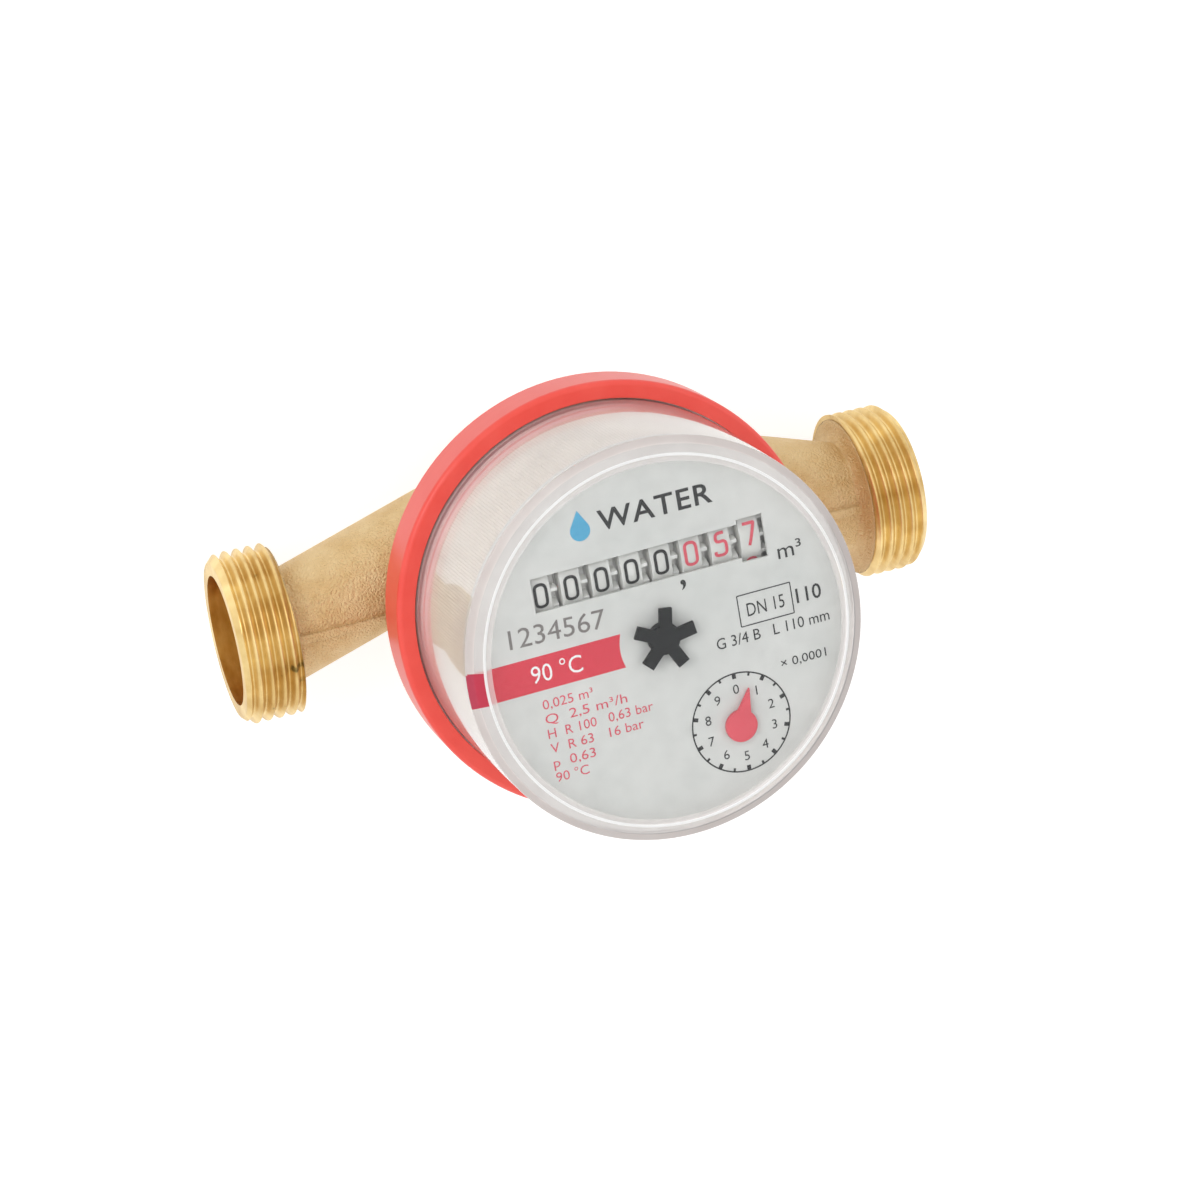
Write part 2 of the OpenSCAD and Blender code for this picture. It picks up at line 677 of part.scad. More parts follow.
// Roller counter
module counter_bracket(x, arm) {
    top_z = counter_z + worm_length / 2 + gear_gap;
    back_y = counter_y + counter_shaft_d / 2 + bearing_wall;
    front_y = carry_y - arbor_d / 2 - bearing_wall;
    arm_y = worm_y - bearing_r;
    inner_x = x - bracket_t / 2;
    color("gainsboro") in_register() difference() {
        union() {
            translate([inner_x, front_y, base_top_z])
                cube([bracket_t, back_y - front_y, top_z + bracket_t - base_top_z]);
            if (arm) {
                translate([inner_x, arm_y, top_z])
                    cube([bracket_t, back_y - arm_y, bracket_t]);
                translate([worm_x - bearing_r, arm_y, top_z])
                    cube([inner_x - worm_x + bearing_r + bracket_t, 2 * bearing_r, bracket_t]);
            }
        }
        along_x([x - bracket_t, counter_y, counter_z])
            cylinder(d = counter_shaft_d, h = 2 * bracket_t);
        along_x([x - bracket_t, carry_y, carry_z])
            cylinder(d = arbor_d, h = 2 * bracket_t);
        if (arm) translate(worm_at)
            rod(arbor_d + 2 * arbor_clear, top_z - over, top_z + bracket_t + over);
    }
}
module counter_bracket_left() {
    counter_bracket(-bracket_x, false);
}
module counter_bracket_right() {
    counter_bracket(bracket_x, true);
}
module shaft(d, y, z) {
    length = 2 * bracket_x + bracket_t;
    color("silver") in_register() along_x([-length / 2, y, z]) cylinder(d = d, h = length);
}
module counter_shaft() {
    shaft(counter_shaft_d, counter_y, counter_z);
}
module carry_shaft() {
    shaft(arbor_d, carry_y, carry_z);
}
// One number wheel: carry teeth on its left, the printed band, the gear ring on its right
module number_wheel(i) {
    drive_tip_r = carry_reach - carry_tip_r - carry_clear;
    drive_root_r = drive_tip_r - module_c;
    hub_d = 2 * counter_shaft_d;
    hub_end = i == wheel_count ? worm_x - wheel_x(i) + worm_wheel_t / 2
        : band_from + band_w + ring_gear_w;
    color("white") in_register() along_x([wheel_x(i), counter_y, counter_z]) difference() {
        union() {
            rod(wheel_d, band_from, band_from + band_w);
            gear(module_c, ring_gear_teeth, band_from + band_w, ring_gear_w, 0);
            rod(2 * drive_root_r, band_from - carry_w, band_from);
            for (a = [-1, 1]) rotate([0, 0, a * 180 / ring_gear_teeth])
                translate([0, -module_c / 2, band_from - carry_w])
                    cube([drive_tip_r, module_c, carry_w]);
            rod(hub_d, band_from, hub_end);
            if (i == wheel_count)
                gear(worm_wheel_m, worm_wheel_teeth, hub_end - worm_wheel_t, worm_wheel_t, 0);
        }
        rod(counter_shaft_d + 2 * arbor_clear, band_from - carry_w - over, hub_end + over);
    }
}
module number_wheel_1() { number_wheel(1); }
module number_wheel_2() { number_wheel(2); }
module number_wheel_3() { number_wheel(3); }
module number_wheel_4() { number_wheel(4); }
module number_wheel_5() { number_wheel(5); }
module number_wheel_6() { number_wheel(6); }
module number_wheel_7() { number_wheel(7); }
module number_wheel_8() { number_wheel(8); }
// One carry pinion, between number wheels i and i + 1
module carry_pinion(i) {
    width = wheel_pitch - band_w - 2 * carry_clear;
    gap_x = wheel_x(i) + band_from + (band_w + wheel_pitch) / 2;
    color("orange") in_register() along_x([gap_x, carry_y, carry_z]) difference() {
        gear(module_c, pinion_teeth, -width / 2, width, carry_phase);
        rod(arbor_d + 2 * arbor_clear, -width, width);
    }
}
module carry_pinion_1() { carry_pinion(1); }
module carry_pinion_2() { carry_pinion(2); }
module carry_pinion_3() { carry_pinion(3); }
module carry_pinion_4() { carry_pinion(4); }
module carry_pinion_5() { carry_pinion(5); }
module carry_pinion_6() { carry_pinion(6); }
module carry_pinion_7() { carry_pinion(7); }

// Dial plate with the window over the counter
module dial_plate() {
    hole_d = arbor_d + 2 * arbor_clear;
    window_half = counter_half - dial_window_inset;
    last_x = wheel_x(wheel_count) - wheel_pitch / 2;
    color("lightgray") in_register() difference() {
        rod(base_d, dial_z, dial_top_z);
        translate([-window_half, counter_y - dial_window_h / 2, dial_z - over])
            cube([2 * window_half, dial_window_h, dial_t + 2 * over]);
        translate([last_x, counter_y - dial_window_h / 2 - dial_window_step, dial_z - over])
            cube([window_half - last_x, dial_window_h + 2 * dial_window_step, dial_t + 2 * over]);
        for (at = [[0, 0], pointer_at]) translate(at)
            rod(hole_d, dial_z - over, dial_top_z + over);
    }
}

brass_body();
inlet_strainer();
impeller_pivot();
impeller();
impeller_magnet();
pressure_plate();
plate_seal();
clamp_ring();
collar_ring();
cover();
cover_seal();
register_base();
magnet_shield();
register_liner();
bridge_plate();
driven_magnet();
spindle();
star_indicator();
first_gear();
pointer_gear();
pointer();
idler_gear();
worm_shaft();
counter_bracket_left();
counter_bracket_right();
counter_shaft();
carry_shaft();
number_wheel_1();
number_wheel_2();
number_wheel_3();
number_wheel_4();
number_wheel_5();
number_wheel_6();
number_wheel_7();
number_wheel_8();
carry_pinion_1();
carry_pinion_2();
carry_pinion_3();
carry_pinion_4();
carry_pinion_5();
carry_pinion_6();
carry_pinion_7();
dial_plate();
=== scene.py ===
"""Looks of a single-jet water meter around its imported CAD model."""
import math

import bmesh
import bpy
import numpy as np
from mathutils import Matrix, Vector


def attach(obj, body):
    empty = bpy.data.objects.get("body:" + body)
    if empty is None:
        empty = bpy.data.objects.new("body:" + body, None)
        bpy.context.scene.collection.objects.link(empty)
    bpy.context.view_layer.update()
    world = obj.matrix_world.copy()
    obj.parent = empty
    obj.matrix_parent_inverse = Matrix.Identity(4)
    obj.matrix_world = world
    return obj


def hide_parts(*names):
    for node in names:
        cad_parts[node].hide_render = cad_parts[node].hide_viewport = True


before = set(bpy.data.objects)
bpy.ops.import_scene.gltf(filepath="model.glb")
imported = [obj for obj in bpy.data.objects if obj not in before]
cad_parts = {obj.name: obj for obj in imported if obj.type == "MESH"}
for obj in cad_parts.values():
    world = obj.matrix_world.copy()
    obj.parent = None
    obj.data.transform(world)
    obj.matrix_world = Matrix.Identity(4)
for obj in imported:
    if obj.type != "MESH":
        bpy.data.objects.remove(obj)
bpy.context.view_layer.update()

# Sizes in millimetres, as in the CAD model
MM = 0.001
BODY_LENGTH = 110.0
PIPE_Y = 1.0
AXIS_Z = 17.0
PORT_R = 13.2
PORT_LENGTH = 9.0
PORT_FACE_R = 12.0
FLANGE_T = 0.35
THREAD_PITCH = 1.814
THREAD_ROOT_R = 12.15
CORE_R = 11.9
RIM_Z = 34.3
COVER_FOOT_TOP = 35.9
COVER_R = 30.2
COVER_TOP_R = 29.8
COVER_BORE_R = 28.6
COVER_FOOT_R = 31.4
COVER_IN_Z = 61.202
COVER_TOP_Z = 62.802
DIAL_Z = 59.302
DIAL_R = 28.4
DIAL_T = 0.5
LINER_Z = 40.7
LINER_BORE_R = 27.1
REGISTER_TURN = math.radians(1.8)
WHEEL_COUNT = 8
WHEEL_PITCH = 4.57
WHEEL_R = 8.65
COUNTER_Y = 10.9
COUNTER_Z = 49.952
BAND_SHIFT = -0.325
POINTER_AT = (9.291, -16.157)
PRINT_LIFT = 0.03
FONT_CAP = 0.729                # height of the font's capitals at size 1
RED_BAND_Y = (-2.96, 2.14)      # edges of the dial's red band
RIM_BAND_SHIFT = 0.8            # offset of the red band's painted refraction on the cover's rim
EDGE_RIBS = 440                 # fine ribs round the cover's rim
EDGE_RIB_DEPTH = 0.04

# Camera, from a fit to the photograph's circles and thread crests
CAMERA_AT = (-127.27, 143.96, 476.55)
CAMERA_RIGHT = (0.93904, -0.14037, 0.31385)
CAMERA_DOWN = (-0.22296, -0.94351, 0.24512)
CAMERA_VIEW = (0.26171, -0.30015, -0.91729)
FOCAL_PIXELS = 3218.1
PHOTO_PIXELS = 1200
SENSOR_MM = 36.0
CLIP_START_M = 0.01


def srgb(red, green, blue):
    """Linear colour of an 8-bit display colour."""
    def one(value):
        value /= 255
        return value / 12.92 if value <= 0.04045 else ((value + 0.055) / 1.055) ** 2.4
    return (one(red), one(green), one(blue), 1.0)


# Materials
STAIN_AT = 0.26                 # noise level below which a stain shows


class Look:
    """A node material that is built up step by step around one Principled shader."""

    def __init__(self, name, roughness=0.5, metallic=0.0):
        self.material = bpy.data.materials.new(name)
        self.material.use_nodes = True
        self.nodes = self.material.node_tree.nodes
        self.links = self.material.node_tree.links
        self.shader = self.nodes["Principled BSDF"]
        self.shader.inputs["Roughness"].default_value = roughness
        self.shader.inputs["Metallic"].default_value = metallic
        self.coords = self.nodes.new("ShaderNodeTexCoord").outputs["Object"]
        self.normal = None

    def noise(self, per_mm, detail=3.0, stretch=(1, 1, 1)):
        mapping = self.nodes.new("ShaderNodeMapping")
        mapping.inputs["Scale"].default_value = [per_mm / MM * s for s in stretch]
        self.links.new(self.coords, mapping.inputs["Vector"])
        node = self.nodes.new("ShaderNodeTexNoise")
        node.inputs["Scale"].default_value = 1.0
        node.inputs["Detail"].default_value = detail
        self.links.new(mapping.outputs["Vector"], node.inputs["Vector"])
        return node.outputs["Fac"]

    def ramp(self, factor, low, high, start=0.3, end=0.7):
        node = self.nodes.new("ShaderNodeValToRGB")
        node.color_ramp.elements[0].position = start
        node.color_ramp.elements[1].position = end
        node.color_ramp.elements[0].color = low
        node.color_ramp.elements[1].color = high
        self.links.new(factor, node.inputs["Fac"])
        return node.outputs["Color"]

    def colour(self, low, high, per_mm=0.15, detail=4.0, stretch=(1, 1, 1), stain=None):
        mixed = self.ramp(self.noise(per_mm, detail, stretch), low, high)
        if stain:
            mixed.node.color_ramp.elements.new(STAIN_AT).color = stain
        self.links.new(mixed, self.shader.inputs["Base Color"])
        return self

    def gloss(self, low, high, per_mm=0.4):
        node = self.nodes.new("ShaderNodeMapRange")
        node.inputs["To Min"].default_value = low
        node.inputs["To Max"].default_value = high
        self.links.new(self.noise(per_mm), node.inputs["Value"])
        self.links.new(node.outputs["Result"], self.shader.inputs["Roughness"])
        return self

    def bump(self, per_mm, height_mm, strength=1.0, detail=3.0, stretch=(1, 1, 1)):
        node = self.nodes.new("ShaderNodeBump")
        node.inputs["Distance"].default_value = height_mm * MM
        node.inputs["Strength"].default_value = strength
        self.links.new(self.noise(per_mm, detail, stretch), node.inputs["Height"])
        if self.normal is not None:
            self.links.new(self.normal, node.inputs["Normal"])
        self.normal = node.outputs["Normal"]
        self.links.new(self.normal, self.shader.inputs["Normal"])
        return self

    def soft_edges(self, radius_mm):
        node = self.nodes.new("ShaderNodeBevel")
        node.samples = 4
        node.inputs["Radius"].default_value = radius_mm * MM
        self.normal = node.outputs["Normal"]
        self.links.new(self.normal, self.shader.inputs["Normal"])
        return self

    def set(self, **values):
        for name, value in values.items():
            self.shader.inputs[name.replace("_", " ")].default_value = value
        return self


def plastic(name, low, high, roughness=0.4, grain=3.0, height=0.01):
    """Moulded plastic: a faint mottle and a fine moulded grain."""
    look = Look(name, roughness).colour(low, high, 0.2)
    look.soft_edges(0.12).bump(grain, height)
    return look.material


def print_ink(name, low, high):
    """Printed ink with a faint screen mottle."""
    return Look(name, 0.55).colour(low, high, 1.5).bump(6.0, 0.004).material


CAST_BRASS = Look("cast_brass", 0.5, 0.62)
CAST_BRASS.colour(srgb(219, 186, 131), srgb(232, 205, 155), 0.3, 6.0)
CAST_BRASS.gloss(0.42, 0.58, 0.8).soft_edges(0.5).bump(2.8, 0.4, 1.0).bump(0.35, 0.12, 0.5)
TURNED_BRASS = Look("turned_brass", 0.4, 0.85)
TURNED_BRASS.colour(srgb(204, 167, 98), srgb(247, 221, 158), 0.2, 5.0, (0.5, 1, 1),
                    srgb(128, 108, 58))
TURNED_BRASS.gloss(0.34, 0.46, 1.2).bump(3.0, 0.006, 0.5)
BORE_BRASS = Look("bore_brass", 0.34, 1.0)
BORE_BRASS.colour(srgb(196, 140, 58), srgb(222, 172, 92), 0.25, 4.0, (3, 1, 1))
BORE_BRASS.gloss(0.28, 0.42, 1.2).bump(4.0, 0.006, 0.5, 2.0, (6, 0.4, 0.4))
RED = plastic("red_plastic", srgb(252, 80, 68), srgb(255, 90, 78), 0.32, 2.5, 0.012)
CLEAR = Look("clear_plastic", 0.03)
CLEAR.colour(srgb(247, 249, 249), srgb(253, 254, 254), 0.1)
CLEAR.bump(0.12, 0.02, 0.4).set(Transmission_Weight=1.0, IOR=1.37)
CLEAR_WALL = Look("clear_wall", 0.06)
CLEAR_WALL.colour(srgb(248, 246, 245), srgb(253, 252, 251), 0.1)
CLEAR_WALL.bump(0.12, 0.03, 0.5).set(Transmission_Weight=0.84, IOR=1.45)
CLEAR_RIM = Look("clear_rim", 0.08)
CLEAR_RIM.colour(srgb(240, 234, 232), srgb(249, 244, 242), 0.15)
CLEAR_RIM.bump(0.4, 0.02, 0.6).set(Transmission_Weight=0.55, IOR=1.45)
CLEAR_EDGE = Look("clear_edge", 0.12)
CLEAR_EDGE.colour(srgb(240, 229, 225), srgb(247, 238, 234), 0.2)
CLEAR_EDGE.bump(0.4, 0.02, 0.6).set(Transmission_Weight=0.36, IOR=1.45)
# Red for the cover's rim over the dial's band: a painted refraction of the band
CLEAR_BAND_REFRACTION = Look("painted_band_refraction", 0.14).colour(srgb(196, 44, 74), srgb(208, 58, 86), 0.2)
CLEAR_BAND_REFRACTION.bump(0.4, 0.02, 0.6).set(Transmission_Weight=0.25, IOR=1.45)
CLEAR_FOOT = Look("clear_foot", 0.4).colour(srgb(252, 218, 214), srgb(255, 230, 227), 0.2)
CLEAR_FOOT.bump(1.0, 0.01, 0.4).set(Transmission_Weight=0.1, IOR=1.45)
# Nearly opaque white for the ridge round the window: a painted highlight line
CLEAR_HIGHLIGHT_LINE = Look("painted_highlight_line", 0.2).colour(srgb(250, 250, 249), srgb(255, 255, 255), 0.2)
CLEAR_HIGHLIGHT_LINE.bump(0.4, 0.01, 0.4).set(Transmission_Weight=0.1, IOR=1.45)
LINER = plastic("liner_plastic", srgb(227, 214, 201), srgb(238, 227, 215), 0.5, 2.0, 0.02)
# Pale base with a pink tint, which is a painted reflection of the red collar ring
BASE = plastic("base_plastic", srgb(248, 228, 226), srgb(254, 238, 236), 0.45, 2.0, 0.02)
WHEEL = Look("wheel_plastic", 0.45).colour(srgb(216, 215, 211), srgb(225, 224, 220), 0.2)
WHEEL.soft_edges(0.12).bump(3.0, 0.01)
WHEEL.set(Subsurface_Weight=0.7, Subsurface_Radius=(1.0, 0.97, 0.94), Subsurface_Scale=0.0015)
WHITE = plastic("white_plastic", srgb(224, 224, 221), srgb(236, 236, 233), 0.42)
FRAME_GRAY = plastic("frame_plastic", srgb(190, 191, 190), srgb(204, 205, 204), 0.5)
RUBBER = plastic("seal_rubber", srgb(28, 27, 27), srgb(42, 40, 40), 0.6)
SEAL = plastic("cover_seal_rubber", srgb(224, 158, 158), srgb(234, 176, 174), 0.35)
DARK_LIP_LOOK = plastic("dark_lip_plastic", srgb(48, 10, 20), srgb(66, 20, 32), 0.4)
PLATE = plastic("plate_plastic", srgb(170, 154, 110), srgb(186, 172, 128), 0.5)
FERRITE = plastic("ferrite", srgb(40, 40, 42), srgb(56, 56, 58), 0.55, 4.0, 0.02)
DIAL = Look("dial_gray", 0.5).colour(srgb(208, 208, 205), srgb(215, 215, 212), 0.4)
DIAL = DIAL.bump(5.0, 0.006).material
BLACK = Look("star_black", 0.5).colour(srgb(10, 12, 15), srgb(22, 25, 28), 0.5)
BLACK = BLACK.soft_edges(0.2).bump(2.5, 0.03).set(Specular_IOR_Level=0.12).material
POINTER_RED = plastic("pointer_red", srgb(218, 70, 84), srgb(230, 84, 98), 0.45)
STEEL = Look("steel", 0.3, 1.0).colour(srgb(176, 177, 180), srgb(198, 199, 202), 0.6)
STEEL = STEEL.bump(4.0, 0.006).material
INK_BLACK = print_ink("ink_black", srgb(16, 16, 18), srgb(28, 28, 30))
INK_GRAY = print_ink("ink_gray", srgb(112, 106, 104), srgb(134, 128, 126))
INK_RED = print_ink("ink_red", srgb(214, 74, 92), srgb(226, 90, 106))
INK_BAND = print_ink("ink_band", srgb(212, 36, 58), srgb(222, 50, 72))
INK_WHITE = print_ink("ink_white", srgb(238, 236, 236), srgb(246, 244, 244))
INK_BLUE = print_ink("ink_blue", srgb(66, 158, 200), srgb(84, 174, 212))

NODE_LOOKS = {
    "brass_body": CAST_BRASS.material, "clamp_ring": TURNED_BRASS.material,
    "collar_ring": RED, "register_base": BASE, "cover": CLEAR.material,
    "cover_seal": SEAL, "plate_seal": RUBBER, "register_liner": LINER,
    "pressure_plate": PLATE, "impeller_magnet": FERRITE, "driven_magnet": FERRITE,
    "impeller_pivot": STEEL, "counter_shaft": STEEL, "carry_shaft": STEEL,
    "magnet_shield": STEEL, "dial_plate": DIAL, "star_indicator": BLACK,
    "pointer": POINTER_RED, "bridge_plate": FRAME_GRAY, "counter_bracket_left": FRAME_GRAY,
    "counter_bracket_right": FRAME_GRAY,
}
NODE_LOOKS.update({name: WHEEL.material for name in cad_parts
                   if name.startswith(("number_wheel", "carry_pinion"))})
for node_name, node_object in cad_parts.items():
    node_object.data.materials.clear()
    node_object.data.materials.append(NODE_LOOKS.get(node_name, WHITE))


# Shared mesh helpers, all in millimetres
def add_piece(name, points, faces, material, body, smooth=False):
    """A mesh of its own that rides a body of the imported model."""
    mesh = bpy.data.meshes.new(name)
    mesh.from_pydata([Vector(p) * MM for p in points], [], faces)
    mesh.materials.append(material)
    if smooth:
        mesh.shade_smooth()
    mesh.update()
    piece = bpy.data.objects.new(name, mesh)
    bpy.context.scene.collection.objects.link(piece)
    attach(piece, body)
    return piece


def lathe(profile, segments=160):
    """Closed profile of (radius, height) turned round the vertical axis."""
    points, faces = [], []
    count = len(profile)
    for step in range(segments):
        angle = 2 * math.pi * step / segments
        points += [(r * math.cos(angle), r * math.sin(angle), z) for r, z in profile]
    for step in range(segments):
        a, b = step * count, (step + 1) % segments * count
        for k in range(count):
            n = (k + 1) % count
            faces.append((a + k, b + k, b + n, a + n))
    return points, faces


def arc(centre, radius, start, end, steps=6):
    """Points of an arc in the (radius, height) plane, angles in degrees."""
    return [(centre[0] + radius * math.cos(math.radians(start + (end - start) * i / steps)),
             centre[1] + radius * math.sin(math.radians(start + (end - start) * i / steps)))
            for i in range(steps + 1)]


def in_register(x, y, z):
    """A point of the register's own frame, turned as the register stands at rest."""
    c, s = math.cos(REGISTER_TURN), math.sin(REGISTER_TURN)
    return (c * x - s * y, s * x + c * y, z)


# Threads: the body's ends are turned down to the root, and a thread sleeve goes over each
def turn_down_body():
    """The casting with its ends turned down to CORE_R, in place of the CAD body."""
    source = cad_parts["brass_body"]
    piece = bpy.data.objects.new("body_casting", source.data.copy())
    bpy.context.scene.collection.objects.link(piece)
    piece.data.materials.append(BORE_BRASS.material)
    piece.data.materials.append(TURNED_BRASS.material)
    skin, slack, bore_margin = 0.05, 0.01, 0.5
    flange = BODY_LENGTH / 2 - PORT_LENGTH + FLANGE_T
    end = BODY_LENGTH / 2 - skin
    shape = bmesh.new()
    shape.from_mesh(piece.data)
    for side in (-1, 1):
        geometry = shape.verts[:] + shape.edges[:] + shape.faces[:]
        bmesh.ops.bisect_plane(shape, geom=geometry, plane_co=(side * flange * MM, 0, 0),
                               plane_no=(1, 0, 0))

    def off_axis(vertex):
        return math.hypot(vertex.co.y / MM - PIPE_Y, vertex.co.z / MM - AXIS_Z)

    for vertex in shape.verts:
        radius = off_axis(vertex)
        if abs(vertex.co.x) / MM > flange - slack and radius > CORE_R:
            scale = CORE_R / radius
            vertex.co.y = (PIPE_Y + (vertex.co.y / MM - PIPE_Y) * scale) * MM
            vertex.co.z = (AXIS_Z + (vertex.co.z / MM - AXIS_Z) * scale) * MM
    shape.normal_update()
    for face in shape.faces:
        at_end = [abs(vertex.co.x) / MM > end for vertex in face.verts]
        if all(at_end):
            face.material_index = 2
        elif any(at_end) and max(off_axis(v) for v in face.verts) < CORE_R - bore_margin:
            face.material_index = 1
    shape.to_mesh(piece.data)
    shape.free()
    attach(piece, "meter_body")
    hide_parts("brass_body")


def thread_sleeve(name, side, crest_shift, segments=160, steps_per_pitch=14):
    """An outer thread with rounded crests, on the side -1 or 1."""
    sink, sharp = 0.2, 50
    rows = round(PORT_LENGTH / THREAD_PITCH * steps_per_pitch)
    outer = BODY_LENGTH / 2
    inner = outer - PORT_LENGTH + FLANGE_T / 3
    points, faces = [], []
    xs = [inner] + [inner + (outer - inner) * i / rows for i in range(rows + 1)] + [outer]
    for row, x in enumerate(xs):
        for step in range(segments):
            angle = 2 * math.pi * step / segments
            phase = (x - crest_shift) / THREAD_PITCH - angle / (2 * math.pi)
            ridge = 0.5 - 0.5 * math.cos(2 * math.pi * phase)
            radius = THREAD_ROOT_R + (PORT_R - THREAD_ROOT_R) * ridge
            radius = min(radius, PORT_FACE_R + outer - x)
            if row in (0, len(xs) - 1):
                radius = CORE_R - sink
            points.append((side * x, PIPE_Y + radius * math.cos(angle),
                           AXIS_Z + radius * math.sin(angle)))
    for row in range(len(xs) - 1):
        for step in range(segments):
            n = (step + 1) % segments
            quad = (row * segments + step, (row + 1) * segments + step,
                    (row + 1) * segments + n, row * segments + n)
            faces.append(quad if side < 0 else quad[::-1])
    piece = add_piece(name, points, faces, TURNED_BRASS.material, "meter_body", True)
    piece.data.set_sharp_from_angle(angle=math.radians(sharp))


turn_down_body()
thread_sleeve("inlet_thread", -1, 0.64)
thread_sleeve("outlet_thread", 1, 0.0)


def over_red_band(point):
    """True where the rim of the cover gets the painted refraction of the dial's red band."""
    c, s = math.cos(REGISTER_TURN), math.sin(REGISTER_TURN)
    x, y = c * point.x + s * point.y, c * point.y - s * point.x
    return x < 0 and RED_BAND_Y[0] < y - RIM_BAND_SHIFT < RED_BAND_Y[1]


# Clear cover: foot, drawn-in wall, sloped rim, and a fine ridge and valley round its window;
# painted highlight on the ridge, painted band refraction on the rim
def make_cover():
    edge, bulge, edge_drop, edge_turn = 0.35, 0.03, 1.32, 67
    slope_in, slope_drop = 0.1, 0.592
    inner, centre_r, window_drop = 0.15, 0.01, 0.05
    valley = ((27.5, 0.08), (27.3, 0.0), (27.08, 0.1), (26.75, 0.16), (26.4, 0.12), (26.3, 0.05))
    outside = [(COVER_BORE_R, RIM_Z), (COVER_FOOT_R, RIM_Z), (COVER_FOOT_R, COVER_FOOT_TOP),
               (COVER_R, COVER_FOOT_TOP)]
    band = arc((COVER_TOP_R + bulge - edge, COVER_TOP_Z - edge_drop), edge, 0, edge_turn)
    band.append((COVER_BORE_R + slope_in, COVER_TOP_Z - slope_drop))
    rim = [(r, COVER_TOP_Z - drop) for r, drop in valley]
    window = [(centre_r, COVER_TOP_Z - window_drop), (centre_r, COVER_IN_Z),
              (COVER_BORE_R - inner, COVER_IN_Z)]
    inside = arc((COVER_BORE_R - inner, COVER_IN_Z - inner), inner, 90, 0)[1:]
    profile = outside + band + rim + window + inside
    band_from = len(outside)
    highlight_from = band_from + len(band)
    points, faces = lathe(profile, 2 * EDGE_RIBS)
    for step in range(1, 2 * EDGE_RIBS, 2):
        for k in range(step * len(profile) + band_from, step * len(profile) + highlight_from - 1):
            x, y, z = points[k]
            shrink = 1 - EDGE_RIB_DEPTH / math.hypot(x, y)
            points[k] = (x * shrink, y * shrink, z)
    piece = add_piece("clear_cover", points, faces, CLEAR.material, "register", True)
    for look in (CLEAR_WALL, CLEAR_RIM, CLEAR_HIGHLIGHT_LINE, CLEAR_FOOT, CLEAR_EDGE, CLEAR_BAND_REFRACTION):
        piece.data.materials.append(look.material)
    wall_slot, rim_slot, highlight_slot, foot_slot, edge_slot, band_refraction_slot = range(1, 7)
    highlight_to = highlight_from + 2
    window_from = highlight_from + len(rim) - 1
    inside_from = window_from + len(window)
    for index, face in enumerate(piece.data.polygons):
        step = index % len(profile)
        if step < band_from - 1:
            face.material_index = foot_slot
        elif step < band_from or step > inside_from:
            face.material_index = wall_slot
        # Painted refraction of the dial's red band on the sloped rim
        elif step < highlight_from and over_red_band(face.center / MM):
            face.material_index = band_refraction_slot
        elif step < highlight_from - 1:
            face.material_index = edge_slot
        # The two faces at the ridge get the painted highlight line
        elif highlight_from <= step < highlight_to:
            face.material_index = highlight_slot
        elif step < window_from:
            face.material_index = rim_slot
    piece.data.set_sharp_from_angle(angle=math.radians(30))
    piece.visible_shadow = False
    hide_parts("cover")


make_cover()


# Liner with fine upright lines, seen through the wall of the cover
def make_liner(lines=400, depth=0.15):
    points, faces = [], []
    steps = ((0.0, 0.0), (0.62, 0.0), (0.81, depth))
    count = len(steps) * lines
    low, high = LINER_Z, DIAL_Z - DIAL_T
    for z, bore in ((low, True), (low, False), (high, False), (high, True)):
        for step in range(count):
            share, cut = steps[step % len(steps)]
            angle = 2 * math.pi * (step // len(steps) + share) / lines
            radius = LINER_BORE_R if bore else DIAL_R - cut
            points.append((radius * math.cos(angle), radius * math.sin(angle), z))
    for row in range(4):
        a, b = row * count, (row + 1) % 4 * count
        faces += [(a + k, a + (k + 1) % count, b + (k + 1) % count, b + k) for k in range(count)]
    piece = add_piece("ribbed_liner", points, faces, LINER, "register")
    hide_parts("register_liner")


make_liner()


# Dark double lip round the register base, seen through the foot of the cover
def make_dust_lip(low=36.25, base_r=28.41, lip_r=28.5):
    profile = [(base_r, low), (lip_r, low + 0.05), (lip_r, low + 0.27), (base_r + 0.02, low + 0.36),
               (base_r + 0.02, low + 0.44), (lip_r, low + 0.53), (lip_r, low + 0.75),
               (base_r, low + 0.8)]
    points, faces = lathe(profile)
    piece = add_piece("dark_lip", points, faces, DARK_LIP_LOOK, "register")


make_dust_lip()


# Prints
def text_outline(text, cap_height, width=1.0, gap=1.0, bold=0.0):
    """Flat letters as (points, faces), centred, in millimetres."""
    curve = bpy.data.curves.new("letters", "FONT")
    curve.body = text
    curve.size = 1.0
    curve.space_character = gap
    curve.resolution_u = 3
    curve.offset = bold
    holder = bpy.data.objects.new("letters", curve)
    bpy.context.scene.collection.objects.link(holder)
    depsgraph = bpy.context.evaluated_depsgraph_get()
    mesh = bpy.data.meshes.new_from_object(holder.evaluated_get(depsgraph))
    points = np.array([v.co[:2] for v in mesh.vertices])
    faces = [tuple(p.vertices) for p in mesh.polygons]
    bpy.data.objects.remove(holder)
    bpy.data.curves.remove(curve)
    bpy.data.meshes.remove(mesh)
    scale = cap_height / FONT_CAP
    points = points * (scale * width, scale)
    middle = (points[:, 0].min() + points[:, 0].max()) / 2
    return points - (middle, cap_height / 2), faces


def print_on_dial(name, at, points, faces, material, lift=PRINT_LIFT):
    placed = [in_register(at[0] + x, at[1] + y, DIAL_Z + lift) for x, y in points]
    add_piece(name, placed, faces, material, "register")


